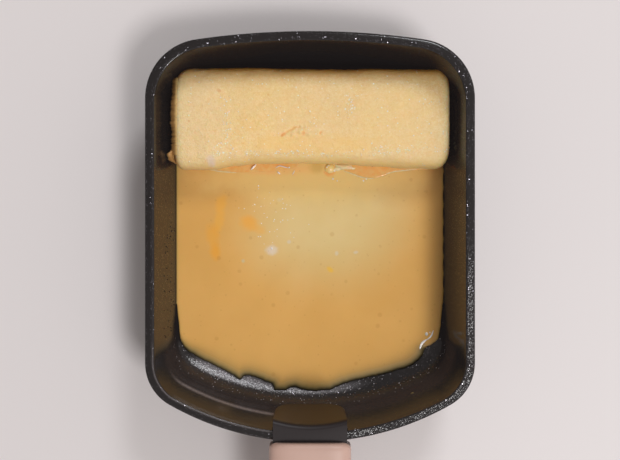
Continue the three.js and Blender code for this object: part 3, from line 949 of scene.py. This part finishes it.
# ---- What lies at the roll's foot and on the egg ----


def dome(ring, height, z, steps=9, flatness=1):
    """A low closed dome over a closed line of (x, y), standing on z."""
    middle = ring.mean(0)
    made = [at_height(ring, z - 0.3)]
    for share in np.cos(np.linspace(0, pi / 2 * 0.97, steps)):
        lift = height * (1 - share ** (2 * flatness)) ** 0.5
        made.append(at_height(middle + (ring - middle) * share, z + lift))
    return loft(made)


def blob(middle, size, height, z, turn=0, wobble=0.12, seed=0, sides=40, steps=9):
    """A dome on an uneven ellipse."""
    round_ring = np.column_stack(circle(sides))
    reach = 1 + wobble * rough(at_height(round_ring * 3, 0), 2, 2, seed + 9)
    c, s = cos(radians(turn)), sin(radians(turn))
    ring = round_ring * size * reach[:, None] @ np.array([[c, s], [-s, c]])
    return dome(ring + middle, height, z, steps)


def bead(middle, size):
    """A small ellipsoid."""
    ring = np.column_stack(circle(10))
    turns = np.linspace(-1.2, 1.2, 6)
    return loft([middle + at_height(ring * cos(t), sin(t)) * size for t in turns])


def pool(points, height, seed):
    """A flat puddle inside a smooth line through a few points."""
    line = resample(curve([*points, points[0]], 12)[:-1], 0.5)
    jag = 0.18 * rough(at_height(line, 0), 2.5, 2, seed)
    return dome(line + unit(line - line.mean(0)) * jag[:, None], height, LEVEL, 10, flatness=1.5)


def strand(points, width, height, lift=0):
    """A low rounded ridge through a few points, tapering towards both ends."""
    path = curve(points, 8)
    run = unit(np.gradient(path, axis=0))
    across = np.column_stack([-run[:, 1], run[:, 0]])
    c, s = circle(10)
    rings = []
    for share, place, sideways in zip(np.linspace(0, 1, len(path)), path, across):
        full = 0.15 + 0.85 * sin(pi * share) ** 0.6
        flat = place + sideways * (width * full * c)[:, None]
        rings.append(np.column_stack([flat, LEVEL + lift + height * full * s]))
    return loft(rings)


def make_pools(material):
    right = [
        (15.7, 36.2), (18.8, 34.3), (23, 32.8), (28.3, 30.9), (33.5, 30.4), (38.7, 31.5),
        (42.9, 33.3), (49.2, 34.1), (56.5, 34.6), (62.8, 35.3), (62.8, 38.3), (36.6, 39.8), (18.3, 38.8),
    ]
    left = [
        (-53, 35.2), (-44, 34), (-36, 33.4), (-30, 33.6), (-22, 34), (-12, 34.9),
        (-7, 36), (-8, 39), (-30, 40), (-50, 38),
    ]
    joined("yolk_pools", material, "liquid_egg", pool(right, 0.35, 1), pool(left, 0.2, 2))


def make_curds(material):
    joined(
        "curds", material, "cooked_egg",
        blob((18.4, 36.2), (5.6, 1.5), 1, LEVEL, -5, wobble=0.3, seed=5),
        blob((14.4, 35.4), (2.4, 1.2), 0.9, LEVEL, 12, wobble=0.3, seed=6),
        strand([(37, 31.4), (43, 33.6), (49.5, 34.5), (56, 35.1), (61.5, 35.4)], 0.42, 0.16, 0.1),
        strand([(17, 34.4), (22.5, 32.4), (28, 30.6), (33.5, 30.1)], 0.36, 0.14, 0.1),
        strand([(-54, 34.9), (-46, 33.8), (-38, 33.1)], 0.36, 0.14, 0.1),
    )


def make_foot_bubble(material):
    bubble = blob((10.3, 35.4), (2.7, 2.6), 1.6, LEVEL - 0.2, wobble=0.03, seed=7, sides=48, steps=16)
    joined("foot_bubble", material, "liquid_egg", bubble)


def make_glints(material):
    """Strokes and drops of raw egg white, painted white as the glints of light on them."""
    parts = [
        strand([(-31, 34.6), (-29.6, 36), (-28, 37.6)], 0.5, 0.4, 1.2),
        strand([(-18.1, 35.5), (-16, 36.7), (-13.1, 36.1), (-11.3, 35.6)], 0.3, 0.3, 0.8),
        strand([(-17.2, 33.7), (-16.4, 33.2), (-15.5, 32.4)], 0.5, 0.4, 0.2),
        strand([(-8, 34.4), (-8.6, 33.2), (-9.3, 32.2)], 0.24, 0.3, 0.2),
        strand([(57.4, -59.2), (58.1, -57), (59.4, -55.3), (61.2, -54)], 0.68, 0.3, 0.25),
        strand([(61, -54.4), (63.3, -52.3), (64.6, -49.2)], 0.46, 0.3, 0.25),
    ]
    for x, y, lift, size in [
        (-10.9, 35.9, 0.7, 0.4), (8.8, 36.1, 1.1, 0.35), (9.8, 36.9, 1.2, 0.3), (12.8, 34.2, 0, 0.5),
        (12, 30, 0, 0.45), (14.2, 28.9, 0, 0.3), (-27, 26.3, 0, 0.35), (29.4, 29.8, 0, 0.35),
        (28, 29, 0, 0.4), (61, -51.2, 0, 0.8), (62.7, -50.4, 0, 0.3), (-20, -6.4, 0, 0.5),
    ]:
        drop = blob((x, y), (size, size * 1.2), size * 0.8, LEVEL + lift, seed=x, sides=16, steps=5)
        parts.append(drop)
    joined("wet_glints", material, "liquid_egg", *parts)


def make_crumb(material, height_at):
    place = (52.1, -80)
    crumb = blob(place, (0.9, 0.5), 0.4, height_at(*place), 20, wobble=0.3, seed=14)
    joined("crumb", material, "cooked_egg", crumb)


def make_spatter(dark, wall_at):
    """Fine droplets of egg and oil on the left wall."""
    parts = []
    for _ in range(60):
        y = rng.uniform(-53, 18)
        x = RIM_WIDTH - HALF_WIDTH + rng.uniform(2.6, 6)
        size = rng.uniform(0.18, 0.36)
        parts.append(bead((x + 0.1, y, wall_at(x, y)), (size * 0.7, size, size * 3)))
    joined("wall_spatter", dark, "liquid_egg", *parts)


def make_bubbles(material):
    """Tiny bubbles on the liquid egg, thickest left of its middle, painted white as their glints."""
    parts = []
    for i in range(44):
        x = rng.normal(-21, 7)
        y = rng.normal(13, 9)
        size = rng.uniform(0.14, 0.32)
        if y < 29:  # short of the pools at the roll's foot
            drop = blob((x, y), (size, size), size * 0.8, LEVEL, wobble=0.05, seed=i, sides=10, steps=4)
            parts.append(drop)
    joined("bubbles", material, "liquid_egg", *parts)


# ---- Handle ----


def bow(x):
    """How far the lining's handle side stands back at x."""
    return x * x / (2 * (HANDLE_RADIUS - RIM_WIDTH))


TONGUE_LEAN = radians(11.2)
TONGUE_SQUARE = 3.5  # exponent of the superellipse that rounds the tongue's tip
BEND_ARC = 1.5
JAW_BEND = 2.8


def make_jaw(material):
    """The plate that bridges the rim and turns down inside the pan as a tongue."""
    under = RIM + GAP
    low, high = JAW_LOW[2], JAW_HIGH[2]
    thick = high - under
    back = RIM_WIDTH - REACH + 0.5
    turn_top = high - JAW_BEND
    across = np.clip(np.sin(np.linspace(-1, 1, 61) * pi / 2), -1, 1)
    top = [(y, high) for y in np.linspace(JAW_LOW[1], back + thick - JAW_BEND, 6)]
    inner = [(y, under) for y in np.linspace(JAW_LOW[1], back, 6)]
    for turn in np.linspace(0, pi / 2 - TONGUE_LEAN, 9)[1:]:
        out = JAW_BEND * (sin(turn) - 1)
        top.append((back + thick + out, turn_top + JAW_BEND * cos(turn)))
        inner.append((back, under))
    for share in np.linspace(0, 1, 34)[1:]:
        run = tan(TONGUE_LEAN) * (turn_top - low) * share
        z = turn_top + JAW_BEND * sin(TONGUE_LEAN) + (low - turn_top) * share
        top.append((back + thick + run, max(z, low)))
        inner.append((back + run, min(under, max(z, low))))
    x = JAW_HIGH[0] * across
    grids = []
    for side in (top, inner):
        rows = []
        for y, z in side:
            drop = max(0, turn_top - z)
            short = drop * 0.95 * (1 - (1 - np.abs(across) ** TONGUE_SQUARE) ** (1 / TONGUE_SQUARE))
            arc_left = 1 - drop / (turn_top - low)
            inward = smooth(y, -REACH, back) * (0.6 + BEND_ARC * across**2 * arc_left)
            shifted = y + bow(x) + inward - short * tan(TONGUE_LEAN)
            rows.append(np.column_stack([x, shifted, z + short]))
        grids.append(np.array(rows))
    piece = make_piece("jaw", between(grids[1], grids[0]), material, "clamp_plastic", "clamp_jaw")
    round_edges(piece, 0.7)


def modify(piece, kind, **settings):
    """Applies a modifier to a piece's mesh."""
    modifier = piece.modifiers.new("change", kind)
    for key, value in settings.items():
        setattr(modifier, key, value)
    graph = bpy.context.evaluated_depsgraph_get()
    mesh = bpy.data.meshes.new_from_object(piece.evaluated_get(graph))
    piece.modifiers.clear()
    old = piece.data
    piece.data = mesh
    bpy.data.meshes.remove(old)
    mesh.name = piece.name
    mesh.shade_smooth()


def round_edges(piece, width):
    sharp = radians(40)
    modify(piece, "BEVEL", width=width * MM, segments=3, limit_method="ANGLE", angle_limit=sharp)


def make_block(material):
    front, back = -REACH - GAP, BLOCK_LOW[1]
    top, bottom = BLOCK_HIGH[2], BLOCK_LOW[2]
    slope = (top - bottom) * tan(OUTER_DRAFT)
    corners = [(back, bottom), (front + slope, bottom), (front, top), (back, top)]
    across = np.linspace(BLOCK_LOW[0], BLOCK_HIGH[0], 25)
    rings = [np.array([(x, y + bow(x), z) for y, z in corners]) for x in across]
    piece = make_piece("outer_block", loft(rings), material, "clamp_plastic", "clamp_block")
    round_edges(piece, 0.5)


# The grip's width and height at its nose, waist and tail.
GRIP_SIZES = np.array([(40, 25), (31, 17), (35, 19)])
GRIP_NOSE_END, GRIP_WAIST, GRIP_TAIL_START = 0.08, 0.5, 0.95
GRIP_TOP = 60
GRIP_RISE, GRIP_RISE_CURVE = 7, 1.5
GRIP_SQUARE = 5
NOSE_ROUND, TAIL_ROUND = 3.4, 13
CHEEK_GAP = 1.4


def grip_section(distance, drawn_in, length):
    """The grip's outline (x, z) at a distance from its nose."""
    share = distance / length
    nose, waist, tail = GRIP_SIZES
    to_waist = float(smooth(share, GRIP_NOSE_END, GRIP_WAIST))
    to_tail = float(smooth(share, GRIP_WAIST, GRIP_TAIL_START))
    width, height = nose + (waist - nose) * to_waist + (tail - waist) * to_tail
    middle = GRIP_TOP + GRIP_RISE * share**GRIP_RISE_CURVE - height / 2
    c, s = circle(120)
    x = power(c, GRIP_SQUARE) * (width / 2 - drawn_in)
    z = power(s, GRIP_SQUARE) * (height / 2 - drawn_in * min(1, height / width))
    return x, middle + z


def cut_away(piece, low, high):
    """Cuts a box out of a piece."""
    ends = list(zip(low, high))
    corners = [(x, y, z) for z in ends[2] for y in ends[1] for x in ends[0]]
    faces = [(0, 2, 3, 1), (4, 5, 7, 6), (0, 1, 5, 4), (2, 6, 7, 3), (0, 4, 6, 2), (1, 3, 7, 5)]
    cutter = add_mesh("cutter", corners, faces)
    modify(piece, "BOOLEAN", object=cutter, operation="DIFFERENCE", solver="EXACT")
    bpy.data.objects.remove(cutter)


def make_grip(material):
    nose = GRIP_HIGH[1] - 0.8
    length = nose - GRIP_LOW[1]
    rings = []

    def add(distance, drawn_in):
        x, z = grip_section(distance, drawn_in, length)
        rings.append(np.column_stack([x, np.full(len(x), nose - distance), z]))

    for turn in np.linspace(0, pi / 2, 9)[:-1]:
        add(NOSE_ROUND * (1 - cos(turn)), NOSE_ROUND * (1 - sin(turn)))
    for distance in np.linspace(NOSE_ROUND, length - TAIL_ROUND, 90):
        add(distance, 0)
    for turn in np.linspace(0, pi / 2 * 0.98, 16)[1:]:
        add(length - TAIL_ROUND * (1 - sin(turn)), 0.9 * TAIL_ROUND * (1 - cos(turn)))
    piece = make_piece("grip", loft(rings), material, "grip_plastic", "handle_grip")
    pocket_top = JAW_HIGH[2] + GAP
    half = JAW_HIGH[0] + GAP
    cut_away(piece, (-40, -REACH - CHEEK_GAP, 0), (40, 0, pocket_top))
    cut_away(piece, (-half, JAW_LOW[1] - GAP, BLOCK_LOW[2] - GAP), (half, 0, pocket_top))


# ---- Stage: floor, lights and camera ----

CAMERA_ABOVE_RIM = 600
VIEW_WIDTH = 302.4  # what the frame shows across at the height of the rim
VIEW_Y = 3.2
FLOOR_SIZE = 6000


def make_stage():
    material = new_look("pale_floor").finish(Base_Color=shade(226, 220, 220), Roughness=0.5)
    far = FLOOR_SIZE / 2
    corners = [(-far, -far, 0), (far, -far, 0), (far, far, 0), (-far, far, 0)]
    floor = add_mesh("floor", corners, [(0, 1, 2, 3)], material)


def make_camera():
    camera = add_object("camera", bpy.data.cameras.new("camera"))
    camera.location = Vector((0, VIEW_Y, RIM + CAMERA_ABOVE_RIM)) * MM
    camera.data.lens = camera.data.sensor_width * CAMERA_ABOVE_RIM / VIEW_WIDTH
    bpy.context.scene.camera = camera


def make_light(name, place, size, power_watts, colour):
    data = bpy.data.lights.new(name, "AREA")
    data.size = size
    data.energy = power_watts
    data.color = colour
    light = add_object(name, data)
    light.location = place
    aim = Vector((0, 0, 0.03)) - Vector(place)
    light.rotation_euler = aim.to_track_quat("-Z", "Y").to_euler()


def make_lights():
    """A key from the right front, a light behind, and a room brighter on the right."""
    make_light("key", (0.88, -0.92, 2.48), 0.62, 31, (1, 0.985, 0.98))
    make_light("back", (0.55, 1.46, 1.68), 0.56, 15, (0.96, 0.98, 1))
    room = Look(bpy.data.worlds.new("room"))
    way = room.add("SeparateXYZ", {0: room.places["Generated"]}).outputs
    strength = 0.53
    for axis, change in (("X", 0.2), ("Y", -0.12), ("Z", -0.2)):
        strength = room.math("MULTIPLY_ADD", way[axis], change, strength)
    bpy.context.scene.world = room.finish(Color=(1, 0.95, 0.92, 1), Strength=strength)
    bpy.context.scene.view_settings.view_transform = "Standard"


# ---- The object ----

make_camera()
make_stage()
make_lights()

pan = make_pan(coating_look())
ground = surface_under(pan)
make_sheet(sheet_look(), ground)
roll = make_roll(roll_look())
make_left_fringe(fringe_look(), surface_under(roll))
curd_look = wet_look("curd", (244, 216, 156), (250, 230, 184), 0.3)
make_right_crumbs(curd_look)
make_pools(wet_look("raw_yolk", (255, 188, 107), (255, 201, 126)))
make_curds(curd_look)
make_foot_bubble(wet_look("bubble_film", (252, 216, 136), (255, 228, 164), 0.22))
make_glints(glint_look())
make_crumb(wet_look("dried_egg", (112, 92, 52), (132, 108, 62), 0.4), ground)
make_spatter(wet_look("dark_drop", (30, 25, 18), (42, 34, 24), 0.2), ground)
make_bubbles(glint_look())
clamp = plastic_look("clamp_plastic", (38, 30, 31), 0.42, 0.2, 0.3)
make_jaw(clamp)
make_block(clamp)
make_grip(plastic_look("grip_plastic", (205, 170, 156), 0.42, 0.3, 0.45))

bpy.context.view_layer.update()
